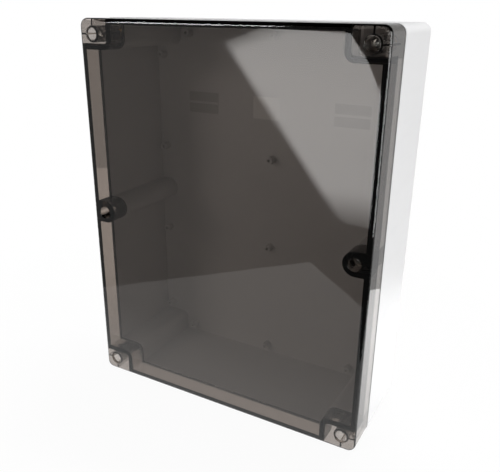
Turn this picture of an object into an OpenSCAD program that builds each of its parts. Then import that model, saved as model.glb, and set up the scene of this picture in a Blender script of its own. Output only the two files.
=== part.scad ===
// Wall-mounting enclosure with a clear hinged lid held shut by six captive screws.
// Every piece is drawn lying on its back, front up, then stood up by stand(). The origin is the middle
// of the rear face, +X is to the right as seen from the front, and the front faces -Y.

/* [Enclosure] */
// Overall width
box_w = 300; // [240:5:400]
// Overall height
box_h = 380; // [320:5:500]
// Overall depth, base and lid together
box_d = 120; // [105:1:180]
// Outer radius of the four long corners
corner_r = 8; // [6:0.5:12]

/* [Base] */
// Thickness of the base's side walls
wall_t = 5; // [4.6:0.1:7]
// Thickness of the rear wall
rear_t = 4; // [3:0.5:6]
// Rounding of the edges round the rear face
rear_edge_r = 2; // [1:0.25:4]
// How far the sealing rim stands up into the lid
rim_h = 12.7; // [10:0.1:14]
// Wall left round the coring of each post, seen from behind
core_wall_t = 3; // [2:0.25:4]
// Solid depth at the front of each cored post
post_cap_t = 17; // [14:0.5:25]

/* [Lid] */
// Depth of the lid
lid_d = 37; // [34:0.5:45]
// Thickness of the lid's front plate
plate_t = 3.5; // [2.5:0.25:5]
// Thickness of the skirt that reaches over the sealing rim
skirt_t = 2; // [1.6:0.1:2.4]
// Rounding of the edges round the lid's front
front_edge_r = 4; // [2:0.25:5]
// How much smaller the lid is than the base on each side
lid_inset = 0.3; // [0.2:0.05:0.5]
// Play between the skirt and the sealing rim, so that the lid can swing
rim_play = 0.8; // [0.6:0.05:1]
// Gap along the seam between the lid and the base
seam_gap = 0.3; // [0.2:0.05:0.5]

/* [Seal] */
// How far the thick seal wall covers the inside edge of the sealing rim
seal_cover = 1; // [0.8:0.1:1.5]
// Gap between the seal wall and the sealing rim
seal_gap = 1.3; // [1:0.1:2]
// Width of the gasket
gasket_w = 2.4; // [1.6:0.1:2.6]
// Height of the gasket
gasket_h = 3; // [2.4:0.1:4]
// Room left between the shut gasket and the sealing rim
gasket_clear = 0.3; // [0.1:0.05:0.5]
// Play of the gasket in its groove
groove_play = 0.05; // [0.02:0.01:0.1]

/* [Posts] */
// Reach of the corner posts across the width
post_w = 36.5; // [34:0.5:44]
// Reach of the corner posts up the height
post_h = 28.5; // [28.5:0.5:38]
// Rounding of the corner posts' inner corner
post_r = 9; // [6:0.5:10]
// Radius of the half-round posts at mid height
mid_post_r = 11.5; // [11.5:0.1:13]
// Thickness of the seal wall round the corner pockets
pocket_wall_t = 5.5; // [4.8:0.1:5.6]
// Thickness of the ribs between the corner tubes and the skirt
rib_t = 1.5; // [1:0.1:2]

/* [Lid screws] */
// Distance of each screw from the two nearest outer faces
screw_inset = 14.5; // [14:0.1:15]
// Radius of the well that the screw's head sits in
well_r = 6; // [5.5:0.1:6.2]
// Outer radius of the well's tube
tube_r = 7.5; // [7.3:0.1:7.7]
// Radius of the chamfer at the well's mouth, past the well's own
well_chamfer = 0.5; // [0.2:0.1:0.8]
// Thickness of the web that the head pulls down on
web_t = 3; // [2:0.25:3.5]
// Radius of the space for the retaining washer
washer_room_r = 5.2; // [5:0.1:5.4]
// Outer diameter of the screw's thread
screw_d = 5; // [4.5:0.1:5]
// Diameter of the screw's neck
neck_d = 3.8; // [3.4:0.1:4]
// Diameter of the screw's head
head_d = 9.5; // [8:0.1:10]
// Height of the screw's head
head_h = 4; // [3:0.1:4.5]
// Height of the straight edge of the head, under its crown
head_edge_h = 2.4; // [1.5:0.1:3]
// Gap between a loose screw's tip and the base, which lets the lid swing
tip_clear = 1; // [0.5:0.1:1.5]
// Gap left under a tight screw's head
head_gap = 0.1; // [0.05:0.05:0.3]
// Depth of the cross recess in the head
recess_depth = 2.2; // [1.5:0.1:2.5]
// Length across the cross recess
recess_l = 5; // [4:0.1:6]
// Width of each slot of the cross recess
recess_w = 1.1; // [0.8:0.1:1.5]
// Clearance between the web's hole and the thread that is passed through it
web_clear = 0.3; // [0.2:0.05:0.5]
// Outer diameter of the retaining washer
washer_d = 9; // [8:0.1:9.6]
// Thickness of the retaining washer
washer_t = 1.4; // [1:0.1:1.6]
// Play of the retaining washer between the web and the screw's thread
washer_play = 0.3; // [0.1:0.05:0.5]
// Gap between the retaining washer and the base when the screw is tight
washer_stop = 0.4; // [0.3:0.05:0.8]
// Radial clearance of the screw's neck in the washer
washer_clear = 0.05; // [0.02:0.01:0.1]

/* [Inserts] */
// Outer diameter of the threaded inserts
insert_d = 8; // [7.5:0.1:9]
// Length of the threaded inserts
insert_l = 9.5; // [9:0.1:11]
// Depth of the groove round the inserts
insert_groove = 0.4; // [0.2:0.1:0.6]
// Width of the groove round the inserts
insert_groove_w = 1.6; // [1:0.1:2.5]
// How far the inserts lie below the seam
insert_sink = 0.5; // [0.3:0.1:1]
// Radial clearance of the screw's thread in its insert
thread_clear = 0.08; // [0.04:0.01:0.1]
// Radial clearance of the inserts in the base
insert_clear = 0.05; // [0.02:0.01:0.08]

/* [Hinges] */
// Distance between the two hinges' middles
hinge_spacing = 190; // [140:5:240]
// Outer radius of the hinge knuckles
knuckle_r = 4; // [3.5:0.1:4.5]
// Length of the lid's knuckle
lid_knuckle_l = 16; // [12:0.5:24]
// Length of each of the base's knuckles
base_knuckle_l = 11; // [8:0.5:16]
// Gap between one knuckle and the next
knuckle_gap = 1; // [0.5:0.1:2]
// Gap between the knuckles and the base's flank
flank_gap = 0.8; // [0.6:0.1:1.5]
// How far the hinge axis lies behind the seam
axis_behind = 4; // [3.5:0.5:6]
// Length of the hinge arms' feet along the flank, past the axis
arm_l = 12; // [9:0.5:16]
// Height over the hinge axis at which the base's arms reach the flank
arm_rise = 3; // [2:0.5:4]
// Diameter of the hinge pins
pin_d = 3; // [2.5:0.1:3.5]
// Radial clearance of the pins in the lid's knuckles
pin_run_clear = 0.06; // [0.03:0.01:0.1]
// Radial clearance of the pins in the base's knuckles
pin_hold_clear = 0.03; // [0.01:0.01:0.05]
// Diameter of the pins' heads
pin_head_d = 5; // [4.5:0.1:6]
// Height of the pins' heads
pin_head_h = 1.2; // [0.8:0.1:2]

/* [Fixings] */
// Distance of the small bosses from the outer faces at the sides
boss_side_inset = 13.5; // [13:0.5:16]
// Distance of the small bosses from the outer faces at top and bottom
boss_end_inset = 15; // [13:0.5:20]
// Distance of the first side boss from the bottom or top
boss_first = 38; // [36:0.5:50]
// Distance between the side bosses, above and below the middle
boss_mid_spacing = 100; // [80:1:130]
// Distance of the bosses at top and bottom from the centre line
boss_end_offset = 102; // [70:1:105]
// Outer radius of the small bosses
boss_r = 4; // [3.5:0.25:5]
// Height of the small bosses over the rear wall
boss_h = 9; // [6:0.5:12]
// Radius of the hole in the small bosses
boss_hole_r = 1.6; // [1.2:0.1:2]
// Radius of the four blind fixing holes in the rear face
fixing_r = 2.1; // [1.8:0.1:3]
// Depth of the blind fixing holes
fixing_depth = 16; // [10:1:20]
// Width of the plain raised pads on the rear wall
pad_w = 37; // [25:1:45]
// Height of each plain raised pad
pad_h = 10; // [6:0.5:14]
// Thickness of the plain raised pads
pad_t = 0.5; // [0.3:0.1:1]
// Gap between the pads of each pair
pad_gap = 2.5; // [1:0.5:5]
// Distance of the pads' middles from the centre line
pad_offset = 85.5; // [60:0.5:100]
// Height of the pads' and the label's middles above the box's middle
marking_h = 103; // [80:1:130]
// Distance of the label's middle from the centre line, to the left
label_offset = 8.5; // [0:0.5:30]
// Width of the blank label
label_w = 31; // [20:1:40]
// Height of the blank label
label_h = 23; // [15:1:30]
// Thickness of the blank label
label_t = 0.3; // [0.2:0.05:0.5]

/* [Hidden] */
$fn = 64;

// How far solids that are joined run into each other
LAP = 1;

// Where the six lid screws are: name, then left or right, and low, middle or high
SPOTS = [
    ["top_left", -1, 1], ["mid_left", -1, 0], ["bottom_left", -1, -1],
    ["top_right", 1, 1], ["mid_right", 1, 0], ["bottom_right", 1, -1]
];
HINGES = [["upper", 1], ["lower", -1]];

// Depths, measured from the rear face
seam_z = box_d - lid_d;
rim_z = seam_z + rim_h;
seal_z = rim_z + seal_gap;
plate_z = box_d - plate_t;
web_z = seal_z - web_t;
gasket_z = rim_z + gasket_clear;
lid_z = seam_z + seam_gap;

// Insets of the seal's lines from the outer faces
skirt_in = lid_inset + skirt_t;
rim_out = skirt_in + rim_play;
seal_in = wall_t + seal_cover;
gasket_mid = (rim_out + wall_t) / 2;
gasket_out = gasket_mid - gasket_w / 2;
gasket_in = gasket_mid + gasket_w / 2;

// Loose screws: the washer, the start of the thread, the tip and the underside of the head
washer_z = web_z - washer_play - washer_t;
thread_z = washer_z - washer_play;
tip_z = seam_z + tip_clear;
screw_travel = washer_z - seam_z - washer_stop;
head_z = seal_z + head_gap + screw_travel;
insert_z = seam_z - insert_sink - insert_l;

// Hinge axis
hinge_x = -box_w / 2 - flank_gap - knuckle_r;
hinge_z = seam_z - axis_behind;
hinge_l = lid_knuckle_l + 2 * knuckle_gap + 2 * base_knuckle_l;

// Small bosses on the rear wall: places down the sides, then along top and bottom
side_boss_y = [for (s = [-1, 1], y = [boss_mid_spacing / 2, box_h / 2 - boss_first]) s * y];
BOSSES = concat(
    [for (x = [-1, 1], y = side_boss_y) [x * (box_w / 2 - boss_side_inset), y]],
    [for (x = [-1, 0, 1], y = [-1, 1]) [x * boss_end_offset, y * (box_h / 2 - boss_end_inset)]],
    [for (y = [-1, 1]) [0, y * boss_mid_spacing / 2]]
);

base_colour = [0.86, 0.87, 0.87];
clear_colour = [0.35, 0.34, 0.33, 0.45];

module stand() {
    rotate([90, 0, 0]) children();
}

// Middle of a screw spot in the plan
function spot(s) = [s[1] * (box_w / 2 - screw_inset), s[2] * (box_h / 2 - screw_inset)];

module at_spots(tall = [-1, 0, 1]) {
    for (s = SPOTS)
        if (len(search(s[2], tall)) > 0)
            translate(spot(s)) children();
}

module at_corners() {
    for (x = [0, 1], y = [0, 1])
        mirror([x, 0, 0]) mirror([0, y, 0]) translate([-box_w / 2, -box_h / 2]) children();
}

module at_sides() {
    for (x = [0, 1])
        mirror([x, 0, 0]) translate([-box_w / 2, 0]) children();
}

// Rectangle round the middle with rounded corners
module rounded_rect(w, h, r) {
    square([w, h - 2 * r], center = true);
    square([w - 2 * r, h], center = true);
    for (x = [-1, 1], y = [-1, 1])
        translate([x * (w / 2 - r), y * (h / 2 - r)]) circle(r);
}

// The box's outline, moved in from its outer faces
module outline(inset) {
    rounded_rect(box_w - 2 * inset, box_h - 2 * inset, max(corner_r - inset, 1));
}

// Corner post from the outer corner at the origin, with its inner corner rounded
module post_plan(w, h, r) {
    translate([-LAP, -LAP]) square([w - r + LAP, h + LAP]);
    translate([-LAP, -LAP]) square([w + LAP, h - r + LAP]);
    translate([w - r, h - r]) circle(r);
}

// Half-round post from the outer face at x = 0
module mid_post_plan(r) {
    translate([screw_inset, 0]) circle(r);
    translate([-LAP, -r]) square([screw_inset + LAP, 2 * r]);
}

// The space inside the seal's line: "inset" from the outer faces, and as far from every post
module cavity(inset) {
    grown = seal_in - inset;
    difference() {
        outline(inset);
        at_corners() post_plan(post_w - grown, post_h - grown, post_r - grown);
        at_sides() mid_post_plan(mid_post_r - grown);
    }
}

// Closed band of the seal between two insets
module seal_band(outer, inner) {
    difference() {
        cavity(outer);
        cavity(inner);
    }
}

// Bar with its two upper edges rounded, centred, along X
module edged_bar(l, w, h, r) {
    rotate([90, 0, 90]) linear_extrude(l, center = true) {
        translate([-w / 2, 0]) square([w, h - r]);
        translate([-w / 2 + r, 0]) square([w - 2 * r, h]);
        for (x = [-1, 1]) translate([x * (w / 2 - r), h - r]) circle(r);
    }
}

// Block with rounded long corners and its upper edges rounded all round
module edged_block(w, h, d, corner, edge) {
    edged_bar(w - 2 * corner, h, d, edge);
    rotate(90) edged_bar(h - 2 * corner, w, d, edge);
    for (q = [0:3])
        mirror([q % 2, 0, 0]) mirror([0, floor(q / 2), 0])
            translate([w / 2 - corner, h / 2 - corner])
                rotate_extrude(angle = 90) {
                    square([corner, d - edge]);
                    square([corner - edge, d]);
                    translate([corner - edge, d - edge]) intersection() {
                        circle(edge);
                        square(edge);
                    }
                }
}

// Knuckle with a bore, from a distance along the hinge axis, on the arm given as its child
module knuckle(from, length, bore_r) {
    translate([hinge_x, from + length, hinge_z]) rotate([90, 0, 0]) linear_extrude(length)
        difference() {
            union() {
                circle(knuckle_r);
                children();
            }
            circle(bore_r);
        }
}

// Side profile of the base's arms, from the axis to the flank
module base_arm() {
    reach = knuckle_r + flank_gap;
    low = -knuckle_r * sin(45);
    polygon([[0, knuckle_r], [reach + LAP, arm_rise], [reach + LAP, -arm_l], [reach, -arm_l], [low, low]]);
}

// Side profile of the lid's arms, which pass outside the base's flank to reach the skirt
module lid_arm() {
    reach = knuckle_r + flank_gap + lid_inset;
    low = axis_behind + seam_gap + lid_inset;
    polygon([
        [-knuckle_r, 0], [-knuckle_r, low], [reach, axis_behind + arm_l], [reach + LAP, axis_behind + arm_l],
        [reach + LAP, low], [knuckle_r, low], [knuckle_r, 0]
    ]);
}

module base_shell() {
    difference() {
        translate([0, 0, seam_z]) mirror([0, 0, 1])
            edged_block(box_w, box_h, seam_z, corner_r, rear_edge_r);
        translate([0, 0, rear_t]) linear_extrude(seam_z) cavity(wall_t);
    }
    translate([0, 0, seam_z - LAP]) linear_extrude(rim_h + LAP) seal_band(rim_out, wall_t);
    for (b = BOSSES) translate([b[0], b[1], rear_t - LAP]) cylinder(r = boss_r, h = boss_h + LAP);
    for (x = [-1, 1], y = [-1, 1])
        translate([x * pad_offset - pad_w / 2, marking_h + y * (pad_h + pad_gap) / 2 - pad_h / 2, rear_t - LAP])
            cube([pad_w, pad_h, pad_t + LAP]);
    for (h = HINGES, s = [-1, 1])
        translate([0, h[1] * hinge_spacing / 2, 0])
            knuckle(s * (lid_knuckle_l + base_knuckle_l + 2 * knuckle_gap) / 2 - base_knuckle_l / 2,
                    base_knuckle_l, pin_d / 2 + pin_hold_clear) base_arm();
}

// What is hollow behind the corner posts and the half-round posts
module post_coring() {
    core = core_wall_t + seal_cover;
    difference() {
        at_corners() intersection() {
            translate([wall_t, wall_t]) square([post_w, post_h]);
            post_plan(post_w - core, post_h - core, post_r - core);
        }
        at_spots([-1, 1]) circle(fixing_r + core_wall_t);
    }
    at_spots([0]) circle(mid_post_r - core);
}

module base() {
    color(base_colour) stand() difference() {
        base_shell();
        translate([0, 0, -LAP]) linear_extrude(seam_z - post_cap_t + LAP) post_coring();
        at_spots() translate([0, 0, insert_z]) cylinder(r = insert_d / 2 + insert_clear, h = seam_z);
        at_spots([-1, 1]) translate([0, 0, -LAP]) cylinder(r = fixing_r, h = fixing_depth + LAP);
        for (b = BOSSES) translate([b[0], b[1], rear_t]) cylinder(r = boss_hole_r, h = boss_h + LAP);
    }
}

// Hollow of each corner pocket, between the skirt and the seal wall
module pocket_plan() {
    intersection() {
        outline(skirt_in);
        at_corners() post_plan(post_w - pocket_wall_t, post_h - pocket_wall_t, post_r - pocket_wall_t);
    }
}

module lid_shell() {
    difference() {
        translate([0, 0, lid_z])
            edged_block(box_w - 2 * lid_inset, box_h - 2 * lid_inset, box_d - lid_z,
                        corner_r - lid_inset, front_edge_r);
        translate([0, 0, lid_z - LAP]) linear_extrude(seal_z - lid_z + LAP) outline(skirt_in);
        translate([0, 0, seal_z - LAP]) linear_extrude(plate_z - seal_z + LAP) {
            cavity(seal_in);
            pocket_plan();
        }
        translate([0, 0, seal_z - LAP]) linear_extrude(gasket_z + gasket_h - seal_z + LAP)
            seal_band(gasket_out - groove_play, gasket_in + groove_play);
    }
    at_spots() translate([0, 0, lid_z]) cylinder(r = tube_r, h = plate_z - lid_z + LAP);
    at_corners() for (a = [0, 90])
        translate([screw_inset, screw_inset, web_z]) rotate(a)
            translate([-screw_inset + skirt_in - LAP, -rib_t / 2])
                cube([screw_inset - skirt_in + LAP - well_r - LAP / 2, rib_t, plate_z - web_z + LAP]);
    for (h = HINGES)
        translate([0, h[1] * hinge_spacing / 2, 0])
            knuckle(-lid_knuckle_l / 2, lid_knuckle_l, pin_d / 2 + pin_run_clear) lid_arm();
}

module lid() {
    color(clear_colour) stand() difference() {
        lid_shell();
        at_spots() {
            translate([0, 0, seal_z]) cylinder(r = well_r, h = box_d);
            translate([0, 0, box_d - well_chamfer])
                cylinder(r1 = well_r, r2 = well_r + 2 * well_chamfer, h = 2 * well_chamfer);
            translate([0, 0, lid_z - LAP]) cylinder(r = washer_room_r, h = web_z - lid_z + LAP);
            translate([0, 0, web_z - LAP]) cylinder(r = screw_d / 2 + web_clear, h = web_t + 2 * LAP);
        }
    }
}

module lid_gasket() {
    color([0.12, 0.12, 0.12]) stand()
        translate([0, 0, gasket_z]) linear_extrude(gasket_h) seal_band(gasket_out, gasket_in);
}

module blank_label() {
    color([0.93, 0.92, 0.88]) stand()
        translate([-label_w / 2 - label_offset, marking_h - label_h / 2, rear_t])
            cube([label_w, label_h, label_t]);
}

module lid_screw(s) {
    crown_h = head_h - head_edge_h;
    crown_r = (pow(head_d / 2, 2) + pow(crown_h, 2)) / (2 * crown_h);
    color([0.75, 0.75, 0.74]) stand() translate(spot(s)) difference() {
        union() {
            translate([0, 0, head_z]) rotate_extrude() intersection() {
                square([head_d / 2, head_h]);
                translate([0, head_h - crown_r]) circle(crown_r);
            }
            translate([0, 0, thread_z]) cylinder(r = neck_d / 2, h = head_z - thread_z + LAP);
            translate([0, 0, tip_z]) cylinder(r = screw_d / 2, h = thread_z - tip_z);
        }
        for (a = [45, 135])
            translate([0, 0, head_z + head_h - recess_depth]) rotate(a)
                translate([-recess_l / 2, -recess_w / 2, 0]) cube([recess_l, recess_w, recess_depth + LAP]);
    }
}

module screw_retainer(s) {
    color([0.9, 0.9, 0.87]) stand() translate(spot(s)) translate([0, 0, washer_z])
        difference() {
            cylinder(r = washer_d / 2, h = washer_t);
            translate([0, 0, -LAP]) cylinder(r = neck_d / 2 + washer_clear, h = washer_t + 2 * LAP);
        }
}

module threaded_insert(s) {
    bore_r = screw_d / 2 + thread_clear;
    color([0.78, 0.62, 0.3]) stand() translate(spot(s)) translate([0, 0, insert_z])
        rotate_extrude() difference() {
            translate([bore_r, 0]) square([insert_d / 2 - bore_r, insert_l]);
            translate([insert_d / 2 - insert_groove, (insert_l - insert_groove_w) / 2])
                square([insert_groove + LAP, insert_groove_w]);
        }
}

module hinge_pin(h) {
    color([0.8, 0.8, 0.8]) stand()
        translate([hinge_x, h[1] * hinge_spacing / 2 + hinge_l / 2, hinge_z]) rotate([-90, 0, 0]) {
            cylinder(r = pin_head_d / 2, h = pin_head_h);
            translate([0, 0, -hinge_l]) cylinder(r = pin_d / 2, h = hinge_l + pin_head_h / 2);
        }
}

base();
lid();
lid_gasket();
blank_label();
for (s = SPOTS) {
    lid_screw(s);
    screw_retainer(s);
    threaded_insert(s);
}
for (h = HINGES)
    hinge_pin(h);
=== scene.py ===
"""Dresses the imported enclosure: grey base, smoked clear lid, seal, captive screws, inserts and hinge pins."""
import math

import bmesh
import bpy
from bpy.props import FloatProperty, FloatVectorProperty, IntProperty, PointerProperty
from bpy.types import Operator, Panel, PropertyGroup
from mathutils import Matrix, Vector


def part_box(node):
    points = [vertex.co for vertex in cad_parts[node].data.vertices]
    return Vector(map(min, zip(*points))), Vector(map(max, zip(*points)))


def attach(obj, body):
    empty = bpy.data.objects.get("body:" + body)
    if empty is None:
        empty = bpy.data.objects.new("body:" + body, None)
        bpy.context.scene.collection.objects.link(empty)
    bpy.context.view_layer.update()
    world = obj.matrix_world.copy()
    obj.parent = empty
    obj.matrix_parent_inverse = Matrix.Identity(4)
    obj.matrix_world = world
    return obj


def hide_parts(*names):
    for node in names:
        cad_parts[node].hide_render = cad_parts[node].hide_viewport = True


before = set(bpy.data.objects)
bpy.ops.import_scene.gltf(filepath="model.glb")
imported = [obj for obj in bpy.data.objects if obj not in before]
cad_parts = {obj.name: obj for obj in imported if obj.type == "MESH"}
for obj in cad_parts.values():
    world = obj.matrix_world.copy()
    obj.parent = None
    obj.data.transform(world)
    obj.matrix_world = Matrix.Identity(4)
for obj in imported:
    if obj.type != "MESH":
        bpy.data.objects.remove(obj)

bl_info = {
    "name": "Clear-lid enclosure",
    "version": (1, 0, 0),
    "blender": (4, 5, 0),
    "location": "View3D > Sidebar > Enclosure",
    "description": "Finishes a wall enclosure with a smoked clear lid around its packed frame",
    "category": "Object",
}

MM = 0.001
# Each screw's spot and the turn of its cross recess in degrees
SPOTS = {
    "top_left": 20,
    "mid_left": 75,
    "bottom_left": 50,
    "top_right": 5,
    "mid_right": 35,
    "bottom_right": 62,
}
MERGE_DISTANCE = 2e-6
SHARP_ANGLE = math.radians(30)
FLAT_ANGLE = math.radians(0.4)
THREAD_DEPTH = 0.45 * MM
NECK_FLARE = 0.3 * MM
TIP_CHAMFER = 0.6 * MM
RIDGE_SINK = 0.05 * MM
# Half widths of the thread's ridge as shares of its pitch
RIDGE_FOOT = 0.42
RIDGE_CREST = 0.07
RECESS_CLEAR = 0.5 * MM
# Length and width of a slot at its bottom as shares of those at its mouth
RECESS_TAPER = (0.45, 0.7)
DOME_STEPS = 10
SCREW_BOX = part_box("lid_screw_top_right")
WELL_X = (SCREW_BOX[0].x + SCREW_BOX[1].x) / 2
WELL_Z = (SCREW_BOX[0].z + SCREW_BOX[1].z) / 2
WELL_REACH = 6.03 * MM
PAD_SIZE = (37 * MM, 10 * MM)
PAD_PLACE = (85.5 * MM, 103 * MM)
PAD_STEP = 12.5 * MM
PAD_FACE = 4.5 * MM
POLYCARBONATE_IOR = 1.58
NOISE_RANGE = (0.3, 0.7)
DRAWING_SCALE = (2200, 2200, 40)
DUST_COLOUR = (0.42, 0.41, 0.39, 1)
# Colour of the painted shade on the rear wall's pads, which stands in for the shadows of their lettering
PAD_SHADE_COLOUR = (0.2, 0.2, 0.2, 1)
LID_SHADE = (0.76, 0.76, 0.76, 1)
TARNISH_COLOUR = (0.35, 0.22, 0.09, 1)
PIN_DARK = (0.5, 0.5, 0.5, 1)
PIN_LIGHT = (0.66, 0.66, 0.65, 1)


# ---------------------------------------------------------------- meshes


def node_copy(node, piece):
    """A merged copy of a CAD node's mesh under the piece's own name, its flat faces joined."""
    work = bmesh.new()
    work.from_mesh(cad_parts[node].data)
    bmesh.ops.remove_doubles(work, verts=work.verts, dist=MERGE_DISTANCE)
    bmesh.ops.dissolve_limit(
        work, angle_limit=FLAT_ANGLE, use_dissolve_boundaries=False, verts=work.verts, edges=work.edges
    )
    return finished(work, piece)


def finished(work, piece):
    """Turns a bmesh into a smooth-shaded object at the origin, with its hard edges kept."""
    mesh = bpy.data.meshes.new(piece)
    work.to_mesh(mesh)
    work.free()
    mesh.polygons.foreach_set("use_smooth", [True] * len(mesh.polygons))
    mesh.set_sharp_from_angle(angle=SHARP_ANGLE)
    obj = bpy.data.objects.new(piece, mesh)
    bpy.context.scene.collection.objects.link(obj)
    return obj


def true_normals(obj):
    """Keeps flat faces flat beside their rounded edges."""
    weighted = obj.modifiers.new("Face weights", "WEIGHTED_NORMAL")
    weighted.mode = "FACE_AREA"
    weighted.weight = 100
    weighted.keep_sharp = True
    return obj


def eased_edges(obj, width):
    """Rounds the hard edges that a moulding tool leaves."""
    bevel = obj.modifiers.new("Eased edges", "BEVEL")
    bevel.limit_method = "ANGLE"
    bevel.angle_limit = math.radians(50)
    bevel.width = width
    bevel.segments = 2
    bevel.use_clamp_overlap = True
    bevel.harden_normals = False


def placed(obj, body, slot, *nodes):
    """Lets a piece ride on its body and stand for its CAD nodes."""
    true_normals(obj)
    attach(obj, body)
    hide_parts(*nodes)
    return obj


def painted(obj, material):
    """Gives a piece its one material."""
    obj.data.materials.clear()
    obj.data.materials.append(material)
    return obj


def revolved(work, outline, steps):
    """Spins an outline of (radius, place along Y) into a closed shell about the Y axis."""
    corners = [work.verts.new((radius, along, 0)) for radius, along in outline]
    edges = [work.edges.new(pair) for pair in zip(corners, corners[1:])]
    bmesh.ops.spin(
        work,
        geom=corners + edges,
        cent=(0, 0, 0),
        axis=(0, 1, 0),
        dvec=(0, 0, 0),
        angle=math.tau,
        steps=steps,
        use_merge=True,
        use_duplicate=False,
    )
    bmesh.ops.remove_doubles(work, verts=work.verts, dist=MERGE_DISTANCE)
    bmesh.ops.recalc_face_normals(work, faces=work.faces)


def screw_blank(settings):
    """Domed head, neck and thread core as one turned shell, its head's top at the origin."""
    head, crown = settings.head / 2, settings.head_height - settings.head_edge
    dome = (head**2 + crown**2) / (2 * crown)
    radii = [head * part / DOME_STEPS for part in range(DOME_STEPS + 1)]
    outline = [(radius, dome - math.sqrt(dome**2 - radius**2)) for radius in radii]
    neck_end, end = settings.head_height + settings.neck_length, settings.length
    core = settings.thread / 2 - THREAD_DEPTH
    outline += [(head, settings.head_height), (settings.neck / 2, settings.head_height)]
    outline += [(settings.neck / 2, neck_end), (core, neck_end + NECK_FLARE)]
    outline += [(core, end - TIP_CHAMFER), (core - TIP_CHAMFER, end), (0, end)]
    work = bmesh.new()
    revolved(work, outline, settings.facets)
    return finished(work, "screw_blank")


def recess_bar(settings, turn):
    """Cutter for one tapered slot of the cross recess."""
    work = bmesh.new()
    bmesh.ops.create_cube(work, size=1)
    for corner in work.verts:
        deep = corner.co.y > 0
        along, across = RECESS_TAPER if deep else (1, 1)
        depth = settings.recess_depth if deep else -RECESS_CLEAR
        x, z = corner.co.x * settings.recess * along, corner.co.z * settings.recess_width * across
        corner.co = Vector((x, depth, z))
    bmesh.ops.rotate(work, verts=work.verts, cent=(0, 0, 0), matrix=Matrix.Rotation(turn, 3, "Y"))
    return finished(work, "recess_bar")


def cut_recess(blank, settings):
    """Cuts the cross recess, eases its edges and hands back the finished mesh."""
    cutters = [recess_bar(settings, math.radians(turn)) for turn in (45, 135)]
    for cutter in cutters:
        slot = blank.modifiers.new("Recess", "BOOLEAN")
        slot.operation = "DIFFERENCE"
        slot.solver = "EXACT"
        slot.object = cutter
    eased_edges(blank, settings.edge)
    mesh = bpy.data.meshes.new_from_object(blank.evaluated_get(bpy.context.evaluated_depsgraph_get()))
    for used in (blank, *cutters):
        bpy.data.objects.remove(used)
    return mesh


def screw_shape(settings):
    """Mesh of a whole captive screw: its turned body with the recess, and the ridge of its thread."""
    work = bmesh.new()
    thread_ridge(work, settings)
    body = cut_recess(screw_blank(settings), settings)
    work.from_mesh(body)
    bmesh.ops.remove_doubles(work, verts=work.verts, dist=MERGE_DISTANCE)
    bmesh.ops.recalc_face_normals(work, faces=work.faces)
    work.to_mesh(body)
    work.free()
    return body


def thread_ridge(work, settings):
    """Helical ridge of the thread round its core."""
    start = settings.head_height + settings.neck_length + settings.pitch
    turns = (settings.length - settings.pitch - start) / settings.pitch
    steps = round(turns * settings.facets)
    outer, foot = settings.thread / 2, settings.thread / 2 - THREAD_DEPTH - RIDGE_SINK
    rows = ((foot, -RIDGE_FOOT), (outer, -RIDGE_CREST), (outer, RIDGE_CREST), (foot, RIDGE_FOOT))
    corners = [work.verts.new((radius, start + share * settings.pitch, 0)) for radius, share in rows]
    face = work.faces.new(corners)
    bmesh.ops.spin(
        work,
        geom=[face, *face.edges, *face.verts],
        cent=(0, 0, 0),
        axis=(0, 1, 0),
        dvec=(0, settings.pitch / settings.facets, 0),
        angle=math.tau * steps / settings.facets,
        steps=steps,
        use_merge=False,
        use_duplicate=False,
    )


def screw_piece(shape, node, piece, turn):
    """A captive screw stood where its CAD node stands, turned by its own angle."""
    low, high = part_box(node)
    work = bmesh.new()
    work.from_mesh(shape)
    bmesh.ops.rotate(work, verts=work.verts, cent=(0, 0, 0), matrix=Matrix.Rotation(turn, 3, "Y"))
    bmesh.ops.translate(work, verts=work.verts, vec=((low.x + high.x) / 2, low.y, (low.z + high.z) / 2))
    return finished(work, piece)


# ---------------------------------------------------------------- shader groups


def new_group(name, inputs, outputs):
    """An empty shader node group with its named sockets."""
    group = bpy.data.node_groups.new(name, "ShaderNodeTree")
    for label, kind, default in inputs:
        socket = group.interface.new_socket(label, in_out="INPUT", socket_type=kind)
        if default is not None:
            socket.default_value = default
    for label, kind in outputs:
        group.interface.new_socket(label, in_out="OUTPUT", socket_type=kind)
    return group, group.nodes.new("NodeGroupInput"), group.nodes.new("NodeGroupOutput")


def add(tree, kind, settings=None, **sockets):
    """A node with its settings, and its inputs given as values or as links."""
    node = tree.nodes.new(kind)
    for key, value in (settings or {}).items():
        setattr(node, key, value)
    for label, value in sockets.items():
        fill(tree, node, label.replace("_", " "), value)
    return node


def fill(tree, node, label, value):
    """Sets or links an input found by its name, or by n and its number."""
    socket = node.inputs[int(label[1:])] if label[:1] == "n" and label[1:].isdigit() else node.inputs[label]
    if isinstance(value, bpy.types.NodeSocket):
        tree.links.new(value, socket)
    else:
        socket.default_value = value


def math_node(tree, operation, first, second=0.5, clamp=False):
    kind = {"operation": operation, "use_clamp": clamp}
    return add(tree, "ShaderNodeMath", kind, n0=first, n1=second).outputs[0]


def noise(tree, vector, scale, detail=3.0, roughness=0.5):
    return add(
        tree, "ShaderNodeTexNoise", None, Vector=vector, Scale=scale, Detail=detail, Roughness=roughness
    ).outputs["Fac"]


def spread(tree, value, low, high, to_low, to_high):
    """Maps a value's range onto another, clamped."""
    node = add(tree, "ShaderNodeMapRange", {"clamp": True}, Value=value)
    for label, number in (("From Min", low), ("From Max", high), ("To Min", to_low), ("To Max", to_high)):
        fill(tree, node, label, number)
    return node.outputs["Result"]


def colour_mix(tree, factor, first, second, blend="MIX"):
    kind = {"data_type": "RGBA", "blend_type": blend}
    return add(tree, "ShaderNodeMix", kind, n0=factor, n6=first, n7=second).outputs[2]


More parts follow.
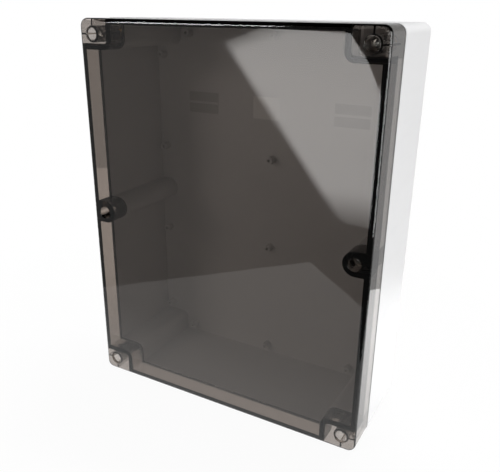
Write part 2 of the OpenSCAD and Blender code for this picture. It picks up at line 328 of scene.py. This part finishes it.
def moulded_group():
    """Cloudy colour and gloss of moulded plastic over a fine spark-eroded grain."""
    group, inside, outside = new_group(
        "Moulded plastic",
        [
            ("Vector", "NodeSocketVector", None),
            ("Colour", "NodeSocketColor", (0.8, 0.8, 0.8, 1)),
            ("Cloud", "NodeSocketFloat", 0.03),
            ("Roughness", "NodeSocketFloat", 0.45),
            ("Grain Scale", "NodeSocketFloat", 1800.0),
        ],
        [("Colour", "NodeSocketColor"), ("Roughness", "NodeSocketFloat"), ("Height", "NodeSocketFloat")],
    )
    where, cloud = inside.outputs["Vector"], inside.outputs["Cloud"]
    broad = noise(group, where, 9.0, 2.0)
    grain = noise(group, where, inside.outputs["Grain Scale"], 2.0, 0.6)
    lift = math_node(group, "MULTIPLY", math_node(group, "SUBTRACT", broad, 0.5), cloud)
    gain = math_node(group, "ADD", lift, 1.0)
    grey = add(group, "ShaderNodeCombineColor", None, Red=gain, Green=gain, Blue=gain).outputs[0]
    colour = colour_mix(group, 1.0, inside.outputs["Colour"], grey, "MULTIPLY")
    rough = math_node(group, "ADD", inside.outputs["Roughness"], math_node(group, "MULTIPLY", lift, 1.5))
    group.links.new(colour, outside.inputs["Colour"])
    group.links.new(rough, outside.inputs["Roughness"])
    group.links.new(grain, outside.inputs["Height"])
    return group


def marks_group():
    """Soft wiping marks and a few specks of dust, as masks."""
    group, inside, outside = new_group(
        "Handling marks",
        [
            ("Vector", "NodeSocketVector", None),
            ("Wipe", "NodeSocketFloat", 0.5),
            ("Dust", "NodeSocketFloat", 0.5),
        ],
        [("Wiped", "NodeSocketFloat"), ("Dusty", "NodeSocketFloat")],
    )
    where = inside.outputs["Vector"]
    slant = (0, math.radians(24), 0)
    turned = add(group, "ShaderNodeMapping", None, Vector=where, Rotation=slant, Scale=(14, 14, 90))
    streaks = noise(group, turned.outputs[0], 1.0, 4.0, 0.6)
    wiped = math_node(group, "MULTIPLY", spread(group, streaks, 0.5, 0.75, 0, 1), inside.outputs["Wipe"])
    cells = add(group, "ShaderNodeTexVoronoi", {"feature": "F1"}, Vector=where, Scale=260.0)
    near = spread(group, cells.outputs["Distance"], 0.05, 0.12, 1, 0)
    patch = spread(group, noise(group, where, 30.0, 2.0), 0.55, 0.7, 0, 1)
    dusty = math_node(group, "MULTIPLY", math_node(group, "MULTIPLY", near, patch), inside.outputs["Dust"])
    group.links.new(wiped, outside.inputs["Wiped"])
    group.links.new(dusty, outside.inputs["Dusty"])
    return group


def use_group(tree, name, maker, **sockets):
    """The outputs of a shared group, which is made on its first use."""
    group = bpy.data.node_groups.get(name) or maker()
    return add(tree, "ShaderNodeGroup", {"node_tree": group}, **sockets).outputs


def new_material(name):
    """A material with its tree, object coordinates, shader and output."""
    material = bpy.data.materials.new(name)
    material.use_nodes = True
    tree = material.node_tree
    tree.nodes.clear()
    where = tree.nodes.new("ShaderNodeTexCoord").outputs["Object"]
    surface = tree.nodes.new("ShaderNodeBsdfPrincipled")
    output = tree.nodes.new("ShaderNodeOutputMaterial")
    tree.links.new(surface.outputs[0], output.inputs["Surface"])
    return material, tree, where, surface, output


def bump(tree, surface, height, distance):
    node = add(tree, "ShaderNodeBump", None, Height=height, Distance=distance, Strength=1.0)
    tree.links.new(node.outputs[0], surface.inputs["Normal"])


def moulded(tree, where, colour, cloud, roughness, grain):
    """Outputs of the moulded plastic group for one colour and grain."""
    look = {"Colour": (*colour, 1), "Cloud": cloud, "Roughness": roughness, "Grain_Scale": grain}
    return use_group(tree, "Moulded plastic", moulded_group, Vector=where, **look)


def plain_plastic(name, colour, cloud, roughness, grain, depth):
    """A material of moulded plastic alone."""
    material, tree, where, surface, _ = new_material(name)
    made = moulded(tree, where, colour, cloud, roughness, grain)
    tree.links.new(made["Colour"], surface.inputs["Base Color"])
    tree.links.new(made["Roughness"], surface.inputs["Roughness"])
    bump(tree, surface, made["Height"], depth)
    return material


def metal_skin(tree, surface, pattern, colour, gloss, depth):
    """Bare metal whose gloss and relief follow one pattern."""
    surface.inputs["Metallic"].default_value = 1.0
    tree.links.new(colour, surface.inputs["Base Color"])
    tree.links.new(spread(tree, pattern, *NOISE_RANGE, *gloss), surface.inputs["Roughness"])
    bump(tree, surface, pattern, depth)


def painted_shade_pad_mask(tree, where):
    """1 on the faces of the rear wall's four plain pads, which get painted shade for the shadows of the
    lettering on them.
    """
    x, y, z = add(tree, "ShaderNodeSeparateXYZ", None, Vector=where).outputs
    folded = math_node(tree, "ABSOLUTE", math_node(tree, "SUBTRACT", z, PAD_PLACE[1]))
    inside = 1.0
    for value, middle, reach in (
        (math_node(tree, "ABSOLUTE", x), PAD_PLACE[0], PAD_SIZE[0] / 2),
        (folded, PAD_STEP / 2, PAD_SIZE[1] / 2),
        (y, -PAD_FACE, 0.2 * MM),
    ):
        away = math_node(tree, "ABSOLUTE", math_node(tree, "SUBTRACT", value, middle))
        inside = math_node(tree, "MULTIPLY", inside, math_node(tree, "LESS_THAN", away, reach))
    return inside


def base_plastic(settings):
    """Light grey moulded polycarbonate with a satin face, and four rougher pads darkened with painted shade for
    the shadows of their lettering.
    """
    material, tree, where, surface, _ = new_material("base_plastic")
    made = moulded(tree, where, settings.colour, 0.03, settings.roughness, 1500.0)
    marks = use_group(tree, "Handling marks", marks_group, Vector=where, Wipe=0.12, Dust=0.2)
    # Painted shade: the pads are darkened (and made rougher) to stand in for the shadows of their lettering
    painted_pads = math_node(tree, "MULTIPLY", painted_shade_pad_mask(tree, where), settings.painted_pad_shade)
    colour = colour_mix(tree, marks["Dusty"], made["Colour"], DUST_COLOUR)
    tree.links.new(colour_mix(tree, painted_pads, colour, PAD_SHADE_COLOUR), surface.inputs["Base Color"])
    rough = math_node(tree, "ADD", made["Roughness"], marks["Wiped"])
    tree.links.new(math_node(tree, "ADD", rough, painted_pads), surface.inputs["Roughness"])
    surface.inputs["IOR"].default_value = POLYCARBONATE_IOR
    bump(tree, surface, made["Height"], 0.04 * MM)
    return material


def well_mask(tree, where):
    """1 inside the lid's six screw wells, whose walls are left as the tool's pins form them."""
    x, _, z = add(tree, "ShaderNodeSeparateXYZ", None, Vector=where).outputs
    across = math_node(tree, "SUBTRACT", math_node(tree, "ABSOLUTE", x), WELL_X)
    half = WELL_Z / 2
    folded = math_node(tree, "ABSOLUTE", math_node(tree, "SUBTRACT", math_node(tree, "ABSOLUTE", z), half))
    along = math_node(tree, "SUBTRACT", folded, half)
    offset = add(tree, "ShaderNodeCombineXYZ", None, X=across, Y=0.0, Z=along).outputs[0]
    away = add(tree, "ShaderNodeVectorMath", {"operation": "LENGTH"}, n0=offset).outputs["Value"]
    return spread(tree, away, WELL_REACH, WELL_REACH + 0.1 * MM, 1.0, 0.0)


def clear_lid(settings):
    """Smoked clear polycarbonate: smooth glass that takes up light along its depth."""
    material, tree, where, surface, output = new_material("clear_lid")
    marks = use_group(tree, "Handling marks", marks_group, Vector=where, Wipe=0.05, Dust=0.1)
    surface.inputs["Base Color"].default_value = (1, 1, 1, 1)
    surface.inputs["Transmission Weight"].default_value = 1.0
    surface.inputs["IOR"].default_value = POLYCARBONATE_IOR
    wells = well_mask(tree, where)
    rough = math_node(tree, "MULTIPLY", wells, settings.well_roughness)
    polish = math_node(tree, "ADD", marks["Wiped"], settings.roughness)
    tree.links.new(math_node(tree, "ADD", polish, rough), surface.inputs["Roughness"])
    bump(tree, surface, math_node(tree, "MULTIPLY", noise(tree, where, 650.0, 2.0), wells), 0.4 * MM)
    path = tree.nodes.new("ShaderNodeLightPath").outputs
    straight = math_node(tree, "ADD", path["Is Shadow Ray"], path["Is Diffuse Ray"], True)
    through = add(tree, "ShaderNodeBsdfTransparent", None, Color=LID_SHADE)
    mixed = add(tree, "ShaderNodeMixShader", None, n0=straight, n1=surface.outputs[0], n2=through.outputs[0])
    tree.links.new(mixed.outputs[0], output.inputs["Surface"])
    smoke = (*settings.smoke, 1)
    depth = add(tree, "ShaderNodeVolumeAbsorption", None, Color=smoke, Density=settings.density)
    tree.links.new(depth.outputs[0], output.inputs["Volume"])
    return material


def gasket_rubber(settings):
    """Dark grey foamed seal with a fine open skin."""
    return plain_plastic("gasket_rubber", settings.colour, 0.12, 0.75, 2400.0, 0.08 * MM)


def retainer_nylon(settings):
    """Natural nylon of the retaining washers."""
    return plain_plastic("retainer_nylon", settings.washer_colour, 0.08, 0.42, 2600.0, 0.02 * MM)


def screw_steel(settings):
    """Bright stainless steel with a fine grain."""
    material, tree, where, surface, _ = new_material("screw_steel")
    fine = noise(tree, where, 900.0, 2.0)
    colour = colour_mix(tree, fine, (*[c * 0.85 for c in settings.colour], 1), (*settings.colour, 1))
    metal_skin(tree, surface, fine, colour, (0.06, 0.12), 0.01 * MM)
    return material


def insert_brass(settings):
    """Turned brass with a light tarnish."""
    material, tree, where, surface, _ = new_material("insert_brass")
    tarnish = noise(tree, where, 260.0, 4.0, 0.6)
    share = spread(tree, tarnish, 0.45, 0.7, 0, 0.6)
    colour = colour_mix(tree, share, (*settings.brass_colour, 1), TARNISH_COLOUR)
    metal_skin(tree, surface, tarnish, colour, (0.25, 0.5), 0.02 * MM)
    return material


def pin_steel():
    """Plain drawn steel of the hinge pins, with drawing lines along them."""
    material, tree, where, surface, _ = new_material("pin_steel")
    drawn = add(tree, "ShaderNodeMapping", None, Vector=where, Scale=DRAWING_SCALE)
    lines = noise(tree, drawn.outputs[0], 1.0, 3.0)
    colour = colour_mix(tree, lines, PIN_DARK, PIN_LIGHT)
    metal_skin(tree, surface, lines, colour, (0.22, 0.42), 0.01 * MM)
    return material


def label_paper(settings):
    """Blank coated label with a faint paper fibre."""
    material, tree, where, surface, _ = new_material("label_paper")
    fibre = noise(tree, where, 1400.0, 4.0, 0.7)
    colour = tuple(settings.colour)
    paper = colour_mix(tree, fibre, (*[c * 0.97 for c in colour], 1), (*colour, 1))
    tree.links.new(paper, surface.inputs["Base Color"])
    tree.links.new(spread(tree, fibre, *NOISE_RANGE, 0.35, 0.5), surface.inputs["Roughness"])
    bump(tree, surface, fibre, 0.02 * MM)
    return material


# ---------------------------------------------------------------- settings


def colour_property(name, description, default):
    return FloatVectorProperty(
        name=name, description=description, default=default, min=0, max=1, subtype="COLOR"
    )


def share_property(name, description, default):
    return FloatProperty(name=name, description=description, default=default, min=0, max=1, subtype="FACTOR")


def power_property(name, description, default):
    return FloatProperty(name=name, description=description, default=default, min=0, unit="POWER")


def length_property(name, description, default, low, high):
    return FloatProperty(
        name=name, description=description, default=default, min=low, max=high, unit="LENGTH", precision=5
    )


class BaseSettings(PropertyGroup):
    colour: colour_property("Colour", "Colour of the base's plastic", (0.76, 0.76, 0.765))
    roughness: share_property("Roughness", "Roughness of the base's skin", 0.38)
    # Share of painted shade on the four pads, which stands in for the shadows of their lettering
    painted_pad_shade: share_property("Pad shade", "How much darker the textured pads are", 0.28)


class LidSettings(PropertyGroup):
    smoke: colour_property("Smoke", "Colour that the lid lets through at depth", (0.154, 0.069, 0.0))
    density: FloatProperty(
        name="Density", description="How strongly the lid takes up light", default=210, min=0
    )
    roughness: share_property("Roughness", "Roughness of the lid's polish", 0.015)
    well_roughness: share_property("Well roughness", "Added roughness in the screw wells", 0.06)


class SealSettings(PropertyGroup):
    colour: colour_property("Colour", "Colour of the foamed seal", (0.10, 0.10, 0.10))


class ScrewSettings(PropertyGroup):
    length: length_property("Length", "Length of a screw over all", 26 * MM, 10 * MM, 40 * MM)
    head: length_property("Head", "Diameter of the head", 9.5 * MM, 6 * MM, 12 * MM)
    head_height: length_property("Head height", "Height of the head with its dome", 4 * MM, 2 * MM, 5 * MM)
    head_edge: length_property("Head edge", "Height of the head's straight edge", 2.4 * MM, 1 * MM, 3 * MM)
    neck: length_property("Neck", "Diameter of the smooth neck", 3.8 * MM, 3 * MM, 4 * MM)
    neck_length: length_property("Neck length", "Length of the smooth neck", 14 * MM, 5 * MM, 20 * MM)
    thread: length_property("Thread", "Outer diameter of the thread", 5 * MM, 4 * MM, 6 * MM)
    pitch: length_property("Pitch", "Rise of the thread in one turn", 0.8 * MM, 0.5 * MM, 1.2 * MM)
    recess: length_property("Recess", "Length across the cross recess", 5.2 * MM, 3 * MM, 6 * MM)
    recess_width: length_property("Recess width", "Width of each slot", 1.2 * MM, 0.6 * MM, 2 * MM)
    recess_depth: length_property("Recess depth", "Depth of the cross recess", 2.2 * MM, 1 * MM, 3 * MM)
    edge: length_property("Eased edge", "Width of the rounding on the head's edges", 0.12 * MM, 0, 0.5 * MM)
    facets: IntProperty(name="Facets", description="Steps round a screw", default=48, min=16, max=96)
    colour: colour_property("Colour", "Colour of the screws' steel", (0.44, 0.43, 0.41))
    washer_colour: colour_property("Washer", "Colour of the retaining washers", (0.75, 0.73, 0.68))
    brass_colour: colour_property("Brass", "Colour of the threaded inserts", (0.78, 0.57, 0.26))


class LabelSettings(PropertyGroup):
    colour: colour_property("Colour", "Colour of the blank label", (0.98, 0.98, 0.97))


class StageSettings(PropertyGroup):
    floor_colour: colour_property("Table", "Colour of the table", (0.86, 0.86, 0.86))
    panel_strength: FloatProperty(
        name="Panel", description="Brightness of the soft panel seen in the lid", default=3.5, min=0
    )
    key_power: power_property("Key light", "Power of the right lamp", 12.5)
    left_power: power_property("Left light", "Power of the front left lamp", 6.2)
    right_power: power_property("Right light", "Power of the front right lamp", 1.4)
    top_power: power_property("Top light", "Power of the lamp above and behind", 14.0)


# ---------------------------------------------------------------- pieces


class ENCLOSURE_OT_base(Operator):
    """Dress the light grey base with its posts, rim and hinge knuckles"""

    bl_idname = "enclosure.base"
    bl_label = "Base"

    def execute(self, context):
        settings = context.scene.enclosure_base
        obj = painted(node_copy("base", "base_shell"), base_plastic(settings))
        placed(obj, "base", "base_plastic", "base")
        return {"FINISHED"}


class ENCLOSURE_OT_lid(Operator):
    """Dress the smoked clear lid"""

    bl_idname = "enclosure.lid"
    bl_label = "Lid"

    def execute(self, context):
        settings = context.scene.enclosure_lid
        obj = painted(node_copy("lid", "lid_shell"), clear_lid(settings))
        placed(obj, "lid", "clear_lid", "lid")
        return {"FINISHED"}


class ENCLOSURE_OT_seal(Operator):
    """Dress the foamed seal in the lid's groove"""

    bl_idname = "enclosure.seal"
    bl_label = "Seal"

    def execute(self, context):
        obj = painted(node_copy("lid_gasket", "lid_seal"), gasket_rubber(context.scene.enclosure_seal))
        placed(obj, "lid", "gasket_rubber", "lid_gasket")
        return {"FINISHED"}


class ENCLOSURE_OT_label(Operator):
    """Dress the blank label on the rear wall"""

    bl_idname = "enclosure.label"
    bl_label = "Label"

    def execute(self, context):
        obj = painted(node_copy("blank_label", "bare_label"), label_paper(context.scene.enclosure_label))
        placed(obj, "base", "label_paper", "blank_label")
        return {"FINISHED"}


class ENCLOSURE_OT_screws(Operator):
    """Dress the six lid screws with their threads, washers and inserts"""

    bl_idname = "enclosure.screws"
    bl_label = "Screws"

    def execute(self, context):
        settings = context.scene.enclosure_screw
        steel, nylon, brass = screw_steel(settings), retainer_nylon(settings), insert_brass(settings)
        shape = screw_shape(settings)
        for spot, turn in SPOTS.items():
            screw = screw_piece(shape, f"lid_screw_{spot}", f"captive_screw_{spot}", math.radians(turn))
            placed(painted(screw, steel), f"screw_{spot}", "screw_steel", f"lid_screw_{spot}")
            washer = painted(node_copy(f"screw_retainer_{spot}", f"retaining_washer_{spot}"), nylon)
            placed(washer, f"retainer_{spot}", "retainer_nylon", f"screw_retainer_{spot}")
            insert = painted(node_copy(f"threaded_insert_{spot}", f"brass_insert_{spot}"), brass)
            placed(insert, "base", "insert_brass", f"threaded_insert_{spot}")
        bpy.data.meshes.remove(shape)
        return {"FINISHED"}


class ENCLOSURE_OT_pins(Operator):
    """Dress the two hinge pins"""

    bl_idname = "enclosure.pins"
    bl_label = "Hinge pins"

    def execute(self, context):
        steel = pin_steel()
        for end in ("upper", "lower"):
            obj = painted(node_copy(f"hinge_pin_{end}", f"steel_pin_{end}"), steel)
            placed(obj, "base", "pin_steel", f"hinge_pin_{end}")
        return {"FINISHED"}


# ---------------------------------------------------------------- stage

CAMERA_PLACE = Vector((0.27488, -0.55885, 0.19699))
CAMERA_LOOK = Vector((-0.446657, 0.821149, -0.355262))
CAMERA_UP = Vector((-0.181020, 0.305920, 0.934690))
CAMERA_LENS = 42.546
CAMERA_SENSOR = 36
TABLE_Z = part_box("base")[0].z
TABLE_CORNER = Vector((-0.068, -0.520))
TABLE_ALONG = Vector((-0.681, 0.732))
TABLE_ACROSS = Vector((0.755, 0.656))
TABLE_SIZE = (1.3, 0.74)
PANEL_OUTLINE = [
    (-0.298, 0.144),
    (-0.222, 0.171),
    (-0.061, 0.167),
    (-0.028, 0.125),
    (0.000, 0.070),
    (0.014, -0.150),
    (-0.061, -0.150),
]
PANEL_Y = -0.62
# Direction inward, start and end of the fade along it, and the share that is left at its start
PANEL_FADES = [
    ((0.000, 0, 1.000), -0.150, -0.090, 0.15),
    ((0.779, 0, 0.628), -0.143, -0.128, 0.0),
    ((0.335, 0, -0.942), -0.236, -0.212, 0.35),
]
# Start and end of each change of brightness, then the brightness before and after it
TABLE_WHITE = (0.3, 0.55, 0.95, 1.0)
TABLE_MIRRORED = (-0.25, 0.1, 0.62, 1.7)
ROOM_TO_BACK = (-0.15, 0.4, 0.06, 1.25)
ROOM_ABOVE = (0.25, 0.7, 1.0, 0.1)
ROOM_BELOW = (-0.1, 0.0, 0.25, 1.0)
MIRRORED_LEFT = (-0.72, -0.35, 0.35, 0.06)
MIRRORED_BACK = (0.0, 0.5, 0.0, 0.5)
MIRRORED_ABOVE = (0.1, 0.5, 1.0, 0.05)
# Place and size of each lamp
LAMPS = {
    "key": ((1.35, -0.15, 0.15), (0.8, 1.2)),
    "left": ((-0.70, -1.1, 0.45), (0.47, 0.47)),
    "right": ((0.75, -1.1, 0.45), (0.5, 0.5)),
    "top": ((0.1, 0.5, 1.2), (0.6, 0.6)),
}


def flat_shape(name, points):
    """A flat polygon from its corners."""
    work = bmesh.new()
    work.faces.new([work.verts.new(p) for p in points])
    mesh = bpy.data.meshes.new(name)
    work.to_mesh(mesh)
    work.free()
    obj = bpy.data.objects.new(name, mesh)
    bpy.context.scene.collection.objects.link(obj)
    return obj


def ray_kinds(tree):
    """Masks of rays that come straight or through clear plastic, and of rays that a polished face turned."""
    path = tree.nodes.new("ShaderNodeLightPath").outputs
    turned = math_node(tree, "MINIMUM", path["Glossy Depth"], 1.0)
    onward = math_node(tree, "SUBTRACT", 1.0, turned)
    through = path["Is Transmission Ray"]
    direct = math_node(tree, "ADD", path["Is Camera Ray"], through, True)
    inward = math_node(tree, "MULTIPLY", through, turned)
    bounced = math_node(tree, "ADD", path["Is Glossy Ray"], inward, True)
    return math_node(tree, "MULTIPLY", direct, onward), bounced


def white_light(tree, strength):
    """Output of a white emission shader."""
    return add(tree, "ShaderNodeEmission", None, Color=(1, 1, 1, 1), Strength=strength).outputs[0]


def table_material(colour):
    """Diffuse table top, white to the camera further out, and paler toward the back where it is mirrored."""
    material = bpy.data.materials.new("table_top")
    material.use_nodes = True
    tree = material.node_tree
    tree.nodes.clear()
    plain = add(tree, "ShaderNodeBsdfDiffuse", None, Color=(*colour, 1)).outputs[0]
    where = tree.nodes.new("ShaderNodeTexCoord").outputs["Object"]
    away = add(tree, "ShaderNodeVectorMath", {"operation": "LENGTH"}, n0=where).outputs["Value"]
    straight, bounced = ray_kinds(tree)
    share = math_node(tree, "MULTIPLY", straight, spread(tree, away, *TABLE_WHITE))
    mixed = add(tree, "ShaderNodeMixShader", None, n0=share, n1=plain, n2=white_light(tree, 1.0))
    depth = add(tree, "ShaderNodeSeparateXYZ", None, Vector=where).outputs["Y"]
    glow = white_light(tree, spread(tree, depth, *TABLE_MIRRORED))
    mixed = add(tree, "ShaderNodeMixShader", None, n0=bounced, n1=mixed.outputs[0], n2=glow)
    output = tree.nodes.new("ShaderNodeOutputMaterial")
    tree.links.new(mixed.outputs[0], output.inputs["Surface"])
    return material


def panel_material(strength):
    """White cloth of the soft panel, which fades out over three of its edges."""
    material = bpy.data.materials.new("soft_panel")
    material.use_nodes = True
    tree = material.node_tree
    tree.nodes.clear()
    where = tree.nodes.new("ShaderNodeTexCoord").outputs["Object"]
    level = strength
    for inward, start, end, least in PANEL_FADES:
        across = add(tree, "ShaderNodeVectorMath", {"operation": "DOT_PRODUCT"}, n0=where, n1=inward)
        fade = spread(tree, across.outputs["Value"], start, end, least, 1.0)
        level = math_node(tree, "MULTIPLY", level, fade)
    output = tree.nodes.new("ShaderNodeOutputMaterial")
    tree.links.new(white_light(tree, level), output.inputs["Surface"])
    return material


def studio_world():
    """White to the camera; dark in front, lit from behind, with a dim left side for the polished faces."""
    world = bpy.data.worlds.new("studio")
    world.use_nodes = True
    tree = world.node_tree
    tree.nodes.clear()
    direction = tree.nodes.new("ShaderNodeTexCoord").outputs["Generated"]
    x, y, z = add(tree, "ShaderNodeSeparateXYZ", None, Vector=direction).outputs
    across = math_node(tree, "MULTIPLY", spread(tree, y, *ROOM_TO_BACK), spread(tree, z, *ROOM_ABOVE))
    lit = math_node(tree, "MULTIPLY", across, spread(tree, z, *ROOM_BELOW))
    sides = math_node(tree, "ADD", spread(tree, x, *MIRRORED_LEFT), spread(tree, y, *MIRRORED_BACK))
    seen = math_node(tree, "MULTIPLY", sides, spread(tree, z, *MIRRORED_ABOVE))
    straight, bounced = ray_kinds(tree)
    room = add(tree, "ShaderNodeMix", {"data_type": "FLOAT"}, n0=bounced, n2=lit, n3=seen).outputs[0]
    strength = add(tree, "ShaderNodeMix", {"data_type": "FLOAT"}, n0=straight, n2=room, n3=1.0).outputs[0]
    output = tree.nodes.new("ShaderNodeOutputWorld")
    shader = add(tree, "ShaderNodeBackground", None, Color=(1, 1, 1, 1), Strength=strength)
    tree.links.new(shader.outputs[0], output.inputs["Surface"])
    bpy.context.scene.world = world


def soft_lamp(name, power):
    """A rectangular lamp of the given power that faces the enclosure."""
    place, size = LAMPS[name]
    light = bpy.data.lights.new(f"{name}_lamp", "AREA")
    light.shape = "RECTANGLE"
    light.size, light.size_y = size
    light.energy = power
    obj = bpy.data.objects.new(f"{name}_lamp", light)
    obj.rotation_euler = (-Vector(place)).to_track_quat("-Z", "Y").to_euler()
    obj.location = place
    bpy.context.scene.collection.objects.link(obj)
    return obj


def stand_camera():
    """Camera of the product view, its roll given by CAMERA_UP."""
    camera = bpy.data.objects.new("camera", bpy.data.cameras.new("camera"))
    camera.data.lens = CAMERA_LENS
    camera.data.sensor_width = CAMERA_SENSOR
    look = CAMERA_LOOK.normalized()
    right = look.cross(CAMERA_UP).normalized()
    up = right.cross(look)
    turn = Matrix((right, up, -look)).transposed().to_4x4()
    camera.matrix_world = Matrix.Translation(CAMERA_PLACE) @ turn
    bpy.context.scene.collection.objects.link(camera)
    bpy.context.scene.camera = camera


def lay_table(settings):
    """Flat table top under the enclosure, its near corner toward the camera."""
    along, across = TABLE_ALONG * TABLE_SIZE[0], TABLE_ACROSS * TABLE_SIZE[1]
    corners = [TABLE_CORNER, TABLE_CORNER + across, TABLE_CORNER + across + along, TABLE_CORNER + along]
    table = flat_shape("table", [(corner.x, corner.y, TABLE_Z) for corner in corners])
    painted(table, table_material(settings.floor_colour))


class ENCLOSURE_OT_stage(Operator):
    """Set the table, the soft panel, the lamps and the camera"""

    bl_idname = "enclosure.stage"
    bl_label = "Stage"

    def execute(self, context):
        settings = context.scene.enclosure_stage
        lay_table(settings)
        panel = flat_shape("panel", [(x, PANEL_Y, z) for x, z in PANEL_OUTLINE])
        painted(panel, panel_material(settings.panel_strength))
        panel.visible_camera = False
        studio_world()
        soft_lamp("key", settings.key_power)
        soft_lamp("left", settings.left_power)
        soft_lamp("right", settings.right_power)
        top = soft_lamp("top", settings.top_power)
        top.visible_glossy = top.visible_transmission = False
        stand_camera()
        context.scene.view_settings.view_transform = "Standard"
        return {"FINISHED"}


class ENCLOSURE_PT_panel(Panel):
    """Sidebar panel that lists the enclosure's pieces"""

    bl_label = "Enclosure"
    bl_idname = "ENCLOSURE_PT_panel"
    bl_space_type = "VIEW_3D"
    bl_region_type = "UI"
    bl_category = "Enclosure"

    def draw(self, context):
        for operator in OPERATORS:
            self.layout.operator(operator.bl_idname)
        for name in SETTINGS:
            group = getattr(context.scene, name)
            box = self.layout.box()
            for label in group.__annotations__:
                box.prop(group, label)


SETTINGS = {
    "enclosure_base": BaseSettings,
    "enclosure_lid": LidSettings,
    "enclosure_seal": SealSettings,
    "enclosure_screw": ScrewSettings,
    "enclosure_label": LabelSettings,
    "enclosure_stage": StageSettings,
}
OPERATORS = (
    ENCLOSURE_OT_base,
    ENCLOSURE_OT_lid,
    ENCLOSURE_OT_seal,
    ENCLOSURE_OT_label,
    ENCLOSURE_OT_screws,
    ENCLOSURE_OT_pins,
    ENCLOSURE_OT_stage,
)
CLASSES = (*SETTINGS.values(), *OPERATORS, ENCLOSURE_PT_panel)


def register():
    for item in CLASSES:
        bpy.utils.register_class(item)
    for name, item in SETTINGS.items():
        setattr(bpy.types.Scene, name, PointerProperty(type=item))


def unregister():
    for name in SETTINGS:
        delattr(bpy.types.Scene, name)
    for item in reversed(CLASSES):
        bpy.utils.unregister_class(item)


def main():
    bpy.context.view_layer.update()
    register()
    bpy.ops.enclosure.base()
    bpy.ops.enclosure.lid()
    bpy.ops.enclosure.seal()
    bpy.ops.enclosure.label()
    bpy.ops.enclosure.screws()
    bpy.ops.enclosure.pins()
    bpy.ops.enclosure.stage()


if __name__ == "__main__":
    main()
